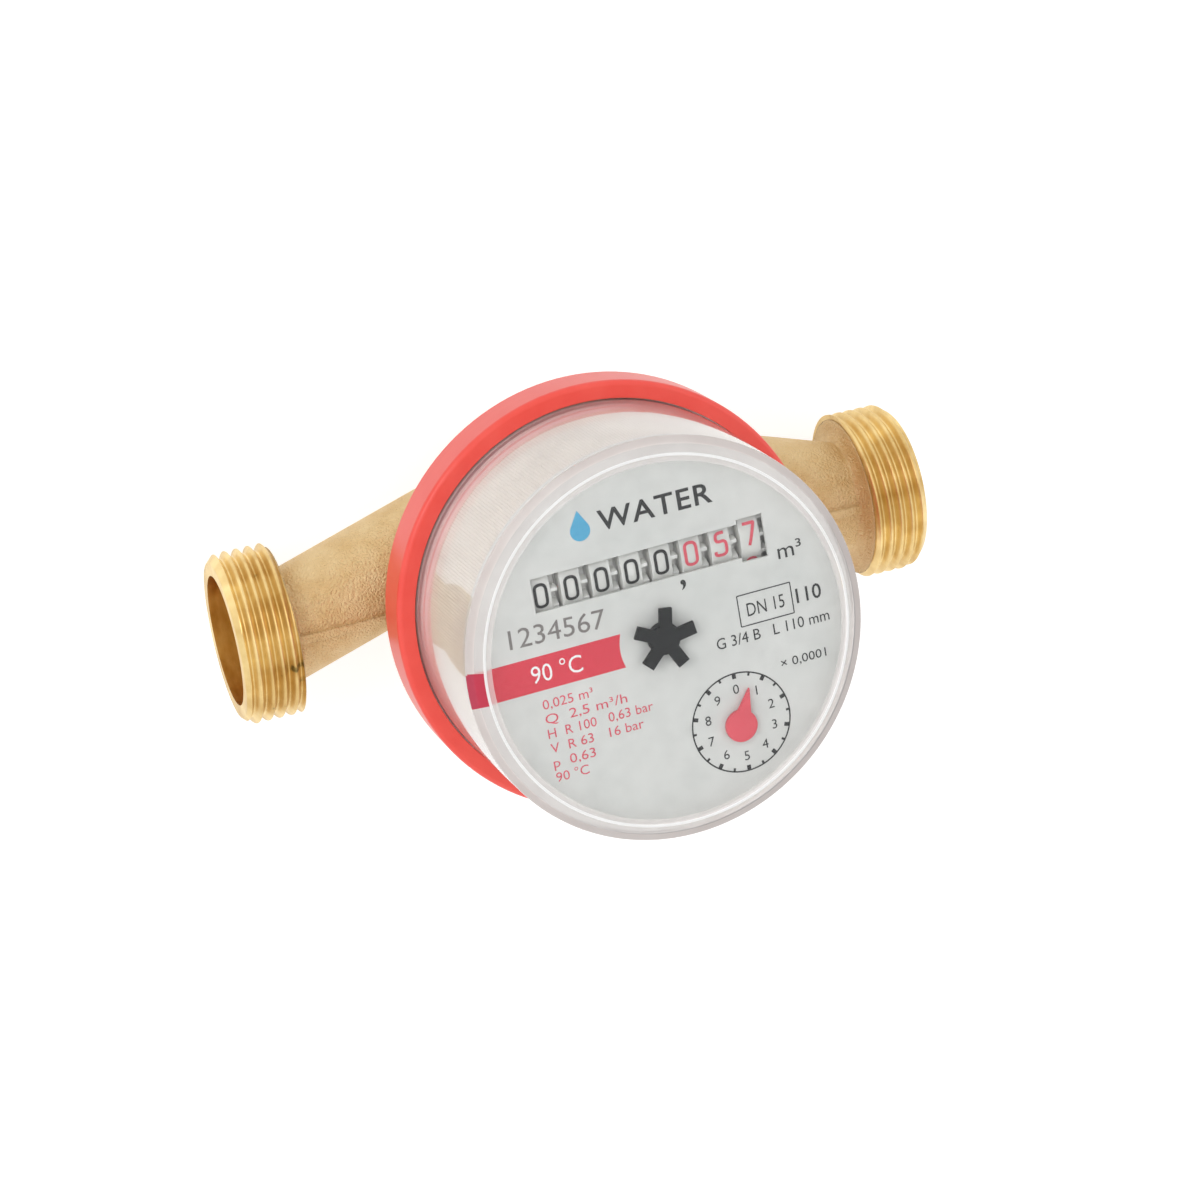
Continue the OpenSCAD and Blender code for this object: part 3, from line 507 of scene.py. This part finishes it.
def dial_text(name, text, at, cap_height, material, length=None, left=False, gap=1.0, turn=0.0,
              bold=0.0):
    """Letters on the dial, set to a length where one is given."""
    points, faces = text_outline(text, cap_height, 1.0, gap, bold)
    if length:
        points = points * (length / (points[:, 0].max() - points[:, 0].min()), 1)
    if left:
        points = points - (points[:, 0].min(), 0)
    c, s = math.cos(math.radians(turn)), math.sin(math.radians(turn))
    points = points @ np.array(((c, s), (-s, c)))
    print_on_dial(name, at, points, faces, material)


def ring_strip(radius, width, start=0.0, end=360.0, steps=120):
    """A flat ring or part of one, as (points, faces)."""
    points, faces = [], []
    for i in range(steps + 1):
        angle = math.radians(start + (end - start) * i / steps)
        for r in (radius - width / 2, radius + width / 2):
            points.append((r * math.cos(angle), r * math.sin(angle)))
    for i in range(steps):
        faces.append((2 * i, 2 * i + 1, 2 * i + 3, 2 * i + 2))
    return points, faces


def join(parts):
    """One (points, faces) from several."""
    points, faces = [], []
    for some_points, some_faces in parts:
        faces += [tuple(i + len(points) for i in face) for face in some_faces]
        points += [tuple(p) for p in some_points]
    return points, faces


def bar(centre, length, width, turn):
    """A rectangle along the direction turn, in degrees."""
    c, s = math.cos(math.radians(turn)), math.sin(math.radians(turn))
    corners = [(-length / 2, -width / 2), (length / 2, -width / 2),
               (length / 2, width / 2), (-length / 2, width / 2)]
    return ([(centre[0] + c * x - s * y, centre[1] + s * x + c * y) for x, y in corners],
            [(0, 1, 2, 3)])


def small_dial():
    ring_r, number_r = 7.55, 5.2
    middle = (POINTER_AT[0] + 0.25, POINTER_AT[1] + 0.32)
    parts = [ring_strip(ring_r, 0.22)]
    for i in range(20):
        angle = 90 - 18 * i
        tick, width = (0.8, 0.6) if i % 2 == 0 else (0.55, 0.34)
        mid_r = ring_r - tick / 2
        parts.append(bar((mid_r * math.cos(math.radians(angle)),
                          mid_r * math.sin(math.radians(angle))), tick, width, angle))
    for i in range(10):
        angle = math.radians(90 - 36 * i)
        points, faces = text_outline(str(i), 1.5)
        parts.append((points + (number_r * math.cos(angle), number_r * math.sin(angle)), faces))
    points, faces = join(parts)
    print_on_dial("small_dial_print", middle, points, faces, INK_BLACK)


def temperature_band():
    (bottom, top), right, dip, edge_r = RED_BAND_Y, -6.1, 0.45, 28.2
    points = []
    steps = 14
    for i in range(steps + 1):
        y = bottom + (top - bottom) * i / steps
        points.append((-math.sqrt(edge_r ** 2 - y * y), y))
        points.append((right - dip * (1 - (2 * i / steps - 1) ** 2), y))
    faces = [(2 * i, 2 * i + 1, 2 * i + 3, 2 * i + 2) for i in range(steps)]
    print_on_dial("temperature_band", (0, 0), points, faces, INK_BAND)
    points, faces = text_outline("90 °C", 2.7, 0.9)
    print_on_dial("temperature_print", (-16.2, -0.35), points, faces, INK_WHITE, 2 * PRINT_LIFT)


def framed_size():
    x0, x1, y0, y1, line = 11.93, 20.2, -1.73, 2.97, 0.17
    mid_x, mid_y = (x0 + x1) / 2, (y0 + y1) / 2
    parts = [bar((mid_x, y), x1 - x0, line, 0) for y in (y0, y1)]
    parts += [bar((x, mid_y), y1 - y0, line, 90) for x in (x0, x1)]
    points, faces = join(parts)
    print_on_dial("size_frame", (0, 0), points, faces, INK_BLACK)
    dial_text("size_print", "DN 15", (mid_x, mid_y), 2.1, INK_BLACK, 5.8)
    dial_text("length_print", "110", (22.8, 0.7), 2.3, INK_BLACK, 3.9, bold=0.01)
    dial_text("thread_print", "G 3/4 B   L 110 mm", (16.6, -3.3), 1.75, INK_BLACK, 17.6)


def water_mark():
    """A plain water drop and the word for what the meter measures."""
    tip, radius, low = 2.4, 1.5, 0.6
    points = [(0.0, tip)]
    points += [(radius * math.cos(math.radians(a)), radius * math.sin(math.radians(a)) - low)
               for a in range(30, -211, -15)]
    print_on_dial("drop_print", (-9.2, 19.1), points, [tuple(range(len(points)))[::-1]], INK_BLUE)
    dial_text("water_print", "WATER", (2.2, 19.3), 3.1, INK_BLACK, 17.2, gap=1.1, bold=0.014)


small_dial()
temperature_band()
framed_size()
water_mark()
dial_text("number_print", "1234567", (-15.1, 5.4), 3.0, INK_GRAY, 14.4, turn=-1.8)
dial_text("unit_print", "m³", (21.0, 8.0), 2.5, INK_BLACK, 3.7)
dial_text("factor_print", "× 0,0001", (20.5, -8.75), 1.4, INK_BLACK, 7.1)
dial_text("comma_print", ",", (4.4, 9.1), 4.6, INK_BLACK)
RATINGS = (("0,025 m³", 7.6), ("Q  2,5 m³/h", 12.4), ("H  R 100   0,63 bar", 16.0),
           ("V  R 63   16 bar", 14.2), ("p  0,63", 6.4), ("90 °C", 5.0))
RATING_X, RATING_Y, RATING_STEP, RATING_CAP = -19.2, -5.1, 2.23, 1.5
for row, (words, length) in enumerate(RATINGS):
    dial_text("rating_%d" % row, words, (RATING_X, RATING_Y - RATING_STEP * row), RATING_CAP,
              INK_RED, length, True)


# Digits of the counter: strokes with round corners, wrapped round the number wheels
STROKE = 0.46
HALF_W = 0.84
HALF_H = 1.66
CORNER = 0.8
CUT_REACH = 2.0                 # how far from its middle a digit is cut, and how often
CUT_STEP = 0.4


def fillet(path, radius, closed=False, steps=5):
    """A path with its corners rounded."""
    path = [Vector(p) for p in path]
    count = len(path)
    rounded = []
    for i, point in enumerate(path):
        if not closed and i in (0, count - 1):
            rounded.append(point)
            continue
        before, after = path[i - 1] - point, path[(i + 1) % count] - point
        start = point + before.normalized() * min(radius, before.length / 2)
        end = point + after.normalized() * min(radius, after.length / 2)
        for k in range(steps + 1):
            t = k / steps
            rounded.append(start * (1 - t) ** 2 + point * 2 * t * (1 - t) + end * t * t)
    return rounded


def stroke(path, radius=CORNER, closed=False):
    """A ribbon along a path, as (points, faces)."""
    line = fillet(path, radius, closed)
    count = len(line)
    points = []
    for i, point in enumerate(line):
        if closed:
            along = line[(i + 1) % count] - line[i - 1]
        else:
            along = line[min(i + 1, count - 1)] - line[max(i - 1, 0)]
        across = Vector((-along.y, along.x)).normalized() * STROKE / 2
        points += [tuple(point - across), tuple(point + across)]
    spans = count if closed else count - 1
    faces = [(2 * i, 2 * i + 1, (2 * i + 3) % (2 * count), (2 * i + 2) % (2 * count))
             for i in range(spans)]
    return points, faces


def loop(low, high, half=HALF_W):
    """A closed ring with round corners, as (points, faces)."""
    return stroke([(-half, low), (half, low), (half, high), (-half, high)], CORNER, True)


def digit_outline(digit):
    """A counter digit as (points, faces)."""
    w, h = HALF_W, HALF_H
    if digit == 9:
        points, faces = digit_outline(6)
        return [(-x, -y) for x, y in points], faces
    strokes = {
        0: [loop(-h, h)],
        1: [stroke([(-0.5 * w, 0.65 * h), (0.25 * w, h), (0.25 * w, -h)], 0.1)],
        2: [stroke([(-w, 0.6 * h), (-w, h), (w, h), (w, 0.15 * h), (-w, -h), (w, -h)], 0.6)],
        3: [stroke([(-w, h), (0.9 * w, h), (-0.1 * w, 0.2 * h), (w, 0.2 * h), (w, -h), (-w, -h),
                    (-w, -0.55 * h)], 0.6)],
        4: [stroke([(0.35 * w, h), (-w, -0.45 * h), (w, -0.45 * h)], 0.1),
            stroke([(0.45 * w, 0.15 * h), (0.45 * w, -h)], 0.1)],
        5: [stroke([(0.85 * w, h), (-0.7 * w, h), (-0.8 * w, 0.2 * h), (w, 0.3 * h), (w, -h),
                    (-w, -h), (-w, -0.6 * h)], 0.7)],
        6: [loop(-h, 0.2 * h), stroke([(-w, -0.4 * h), (-w, 0.2 * h), (0.35 * w, h)], 0.5)],
        7: [stroke([(-w, h), (w, h), (-0.25 * w, -h)], 0.1)],
        8: [loop(-h, 0.08 * h), loop(0.08 * h, h, 0.85 * w)],
    }
    return join(strokes[digit])


def wrap_on_wheel(points, faces, wheel, angle):
    """Letters bent round a number wheel, cut across so that they follow its curve."""
    shape = bmesh.new()
    verts = [shape.verts.new((x, y, 0)) for x, y in points]
    for face in faces:
        shape.faces.new([verts[i] for i in face])
    for cut in np.arange(-CUT_REACH, CUT_REACH + 0.01, CUT_STEP):
        geometry = shape.verts[:] + shape.edges[:] + shape.faces[:]
        bmesh.ops.bisect_plane(shape, geom=geometry, plane_co=(0, cut, 0), plane_no=(0, 1, 0))
    shape.verts.index_update()
    radius = WHEEL_R + PRINT_LIFT
    middle_x = (wheel - (WHEEL_COUNT + 1) / 2) * WHEEL_PITCH + BAND_SHIFT
    bent = []
    for vert in shape.verts:
        turn = angle + vert.co.y / radius
        bent.append(in_register(middle_x + vert.co.x, COUNTER_Y + radius * math.sin(turn),
                                COUNTER_Z + radius * math.cos(turn)))
    flat = [tuple(v.index for v in face.verts) for face in shape.faces]
    shape.free()
    return bent, flat


# What each wheel shows at rest, in digits
READING = (-0.08, -0.08, -0.08, -0.08, -0.04, -0.02, 5.02, 7.08)


def number_wheel_print(wheel):
    material = INK_BLACK if wheel <= 5 else INK_RED
    parts = []
    for digit in range(10):
        points, faces = digit_outline(digit)
        parts.append(wrap_on_wheel(points, faces, wheel,
                                   math.radians(36 * (READING[wheel - 1] - digit))))
    points, faces = join(parts)
    add_piece("digits_%d" % wheel, points, faces, material, "wheel_%d" % wheel)


for wheel in range(1, WHEEL_COUNT + 1):
    number_wheel_print(wheel)


# Floor, light and camera
FLOOR_SIZE = 6000
FLOOR_LIFT = 0.66               # brings the floor up to the photograph's white
WORLD_LIGHT = 0.74
WORLD_SEEN = 1.0
LIGHT_TARGET = (0, 0, 30)
LIGHTS = (("key_light", (-350, 250, 420), 300, 0.76),
          ("fill_light", (420, 120, 380), 350, 0.2),
          ("front_light", (0, -450, 300), 350, 0.2))


def seen_directly(nodes, links):
    """One for camera, glossy and transmission rays, else zero."""
    path = nodes.new("ShaderNodeLightPath")
    value = path.outputs["Is Camera Ray"]
    for name in ("Is Glossy Ray", "Is Transmission Ray"):
        either = nodes.new("ShaderNodeMath")
        either.operation = "MAXIMUM"
        links.new(value, either.inputs[0])
        links.new(path.outputs[name], either.inputs[1])
        value = either.outputs["Value"]
    return value


def make_stage():
    size = FLOOR_SIZE
    mesh = bpy.data.meshes.new("floor")
    mesh.from_pydata([Vector(p) * MM for p in ((-size, -size, 0), (size, -size, 0),
                                               (size, size, 0), (-size, size, 0))],
                     [], [(0, 1, 2, 3)])
    floor_look = Look("floor", 0.7).colour(srgb(200, 200, 200), srgb(205, 205, 205), 0.01)
    floor_look.set(Emission_Color=(1, 1, 1, 1))
    seen = seen_directly(floor_look.nodes, floor_look.links)
    lift = floor_look.nodes.new("ShaderNodeMath")
    lift.operation = "MULTIPLY"
    lift.inputs[1].default_value = FLOOR_LIFT
    floor_look.links.new(seen, lift.inputs[0])
    floor_look.links.new(lift.outputs["Value"], floor_look.shader.inputs["Emission Strength"])
    mesh.materials.append(floor_look.material)
    floor = bpy.data.objects.new("floor", mesh)
    bpy.context.scene.collection.objects.link(floor)


def add_light(name, at, size, power):
    light = bpy.data.lights.new(name, "AREA")
    light.shape = "DISK"
    light.size = size * MM
    light.energy = power
    lamp = bpy.data.objects.new(name, light)
    lamp.location = Vector(at) * MM
    aim = Vector(LIGHT_TARGET) - Vector(at)
    lamp.rotation_euler = aim.to_track_quat("-Z", "Y").to_euler()
    bpy.context.scene.collection.objects.link(lamp)


def make_camera():
    data = bpy.data.cameras.new("photo_camera")
    data.sensor_width = SENSOR_MM
    data.lens = FOCAL_PIXELS * SENSOR_MM / PHOTO_PIXELS
    data.clip_start = CLIP_START_M
    camera = bpy.data.objects.new("photo_camera", data)
    right, down, view = Vector(CAMERA_RIGHT), Vector(CAMERA_DOWN), Vector(CAMERA_VIEW)
    turn = Matrix((right, -down, -view)).transposed().to_4x4()
    camera.matrix_world = Matrix.Translation(Vector(CAMERA_AT) * MM) @ turn
    bpy.context.scene.collection.objects.link(camera)
    bpy.context.scene.camera = camera


make_stage()
for light_values in LIGHTS:
    add_light(*light_values)
make_camera()

world = bpy.data.worlds.new("studio")
world.use_nodes = True
world.node_tree.nodes["Background"].inputs["Color"].default_value = (1, 1, 1, 1)
strength = world.node_tree.nodes.new("ShaderNodeMapRange")
strength.inputs["To Min"].default_value = WORLD_LIGHT
strength.inputs["To Max"].default_value = WORLD_SEEN
world.node_tree.links.new(seen_directly(world.node_tree.nodes, world.node_tree.links),
                          strength.inputs["Value"])
world.node_tree.links.new(strength.outputs["Result"],
                          world.node_tree.nodes["Background"].inputs["Strength"])
bpy.context.scene.world = world
bpy.context.scene.view_settings.view_transform = "Standard"
